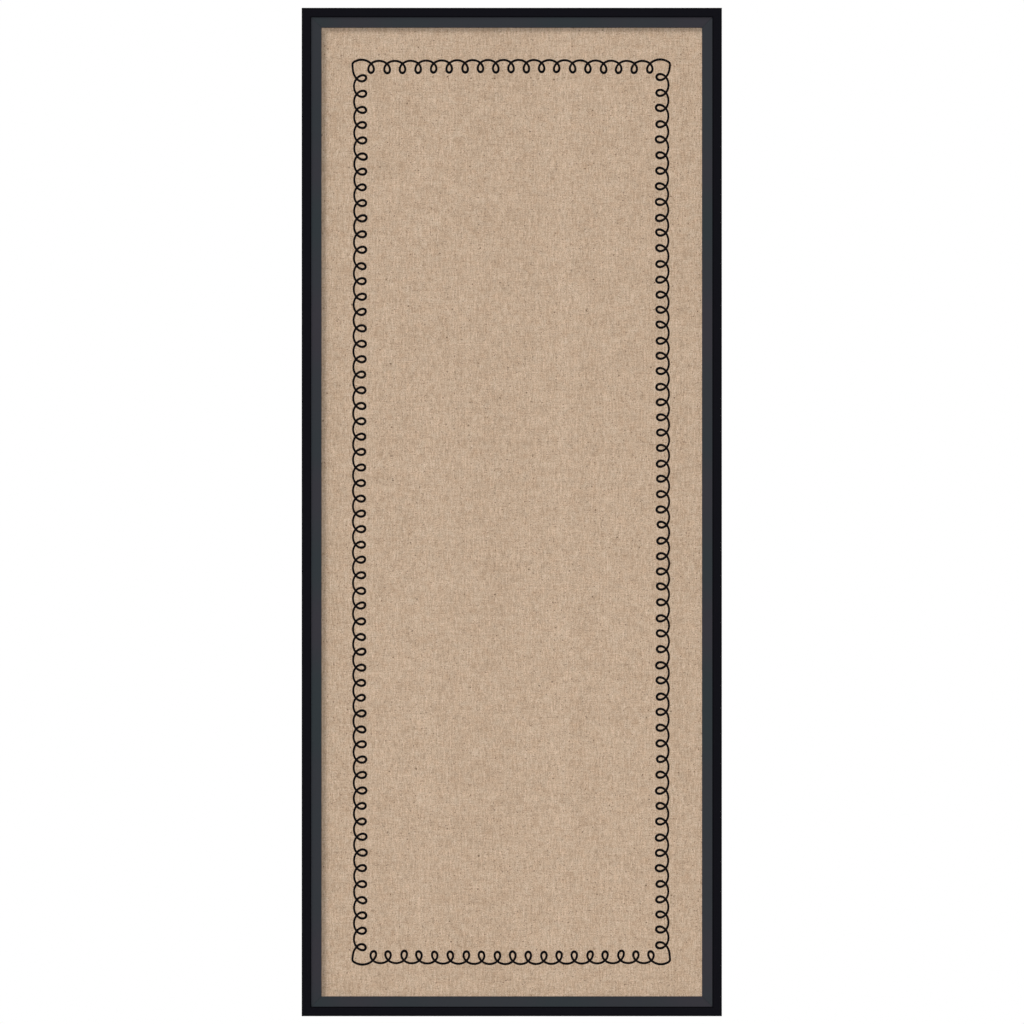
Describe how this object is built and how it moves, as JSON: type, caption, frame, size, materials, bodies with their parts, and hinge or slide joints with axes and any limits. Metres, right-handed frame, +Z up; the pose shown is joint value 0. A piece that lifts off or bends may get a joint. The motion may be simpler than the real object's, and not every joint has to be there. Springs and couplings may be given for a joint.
{
  "type": "pin board",
  "caption": "Upright linen-covered cork pin board in a mitred wooden frame, with a printed looped border and D-ring hangers for the wall.",
  "frame": {"origin": "middle of the top rail's back face, which lies on the frame's back plane", "axes": "+X to the right as seen from the front, +Y out of the back towards the wall, +Z up along the board's length"},
  "size_m": [0.4354, 0.0276, 1.0451],
  "materials": {
    "black_paint": "satin",
    "linen": "matte",
    "black_ink": "matte",
    "cork": "matte",
    "hardboard": "matte",
    "bright_steel": "satin",
    "zinc_steel": "satin",
    "black_rubber": "matte"
  },
  "bodies": {
    "board": {"top_rail": "black_paint", "bottom_rail": "black_paint", "left_rail": "black_paint", "right_rail": "black_paint", "v_nail_top_right_outer": "bright_steel", "v_nail_top_right_inner": "bright_steel", "v_nail_bottom_right_outer": "bright_steel", "v_nail_bottom_right_inner": "bright_steel", "v_nail_bottom_left_outer": "bright_steel", "v_nail_bottom_left_inner": "bright_steel", "v_nail_top_left_outer": "bright_steel", "v_nail_top_left_inner": "bright_steel", "framers_point_top_1": "bright_steel", "framers_point_top_2": "bright_steel", "framers_point_right_1": "bright_steel", "framers_point_right_2": "bright_steel", "framers_point_right_3": "bright_steel", "framers_point_right_4": "bright_steel", "framers_point_bottom_1": "bright_steel", "framers_point_bottom_2": "bright_steel", "framers_point_left_1": "bright_steel", "framers_point_left_2": "bright_steel", "framers_point_left_3": "bright_steel", "framers_point_left_4": "bright_steel", "linen_cover": "linen", "border_print": "black_ink", "cork_sheet": "cork", "backer_board": "hardboard", "strap_hanger_left": "zinc_steel", "strap_hanger_right": "zinc_steel", "hanger_screw_left": "zinc_steel", "hanger_screw_right": "zinc_steel", "bumper_left": "black_rubber", "bumper_right": "black_rubber"},
    "ring_left": {"d_ring_left": "zinc_steel"},
    "ring_right": {"d_ring_right": "zinc_steel"}
  },
  "joints": [
    {"name": "ring_left_hinge", "type": "hinge", "parent": "board", "child": "ring_left", "pos_m": [-0.21047, 0.00205, -0.25472], "axis": [-1, 0, 0], "range_deg": [0, 175]},
    {"name": "ring_right_hinge", "type": "hinge", "parent": "board", "child": "ring_right", "pos_m": [0.21047, 0.00205, -0.25472], "axis": [-1, 0, 0], "range_deg": [0, 175]}
  ]
}
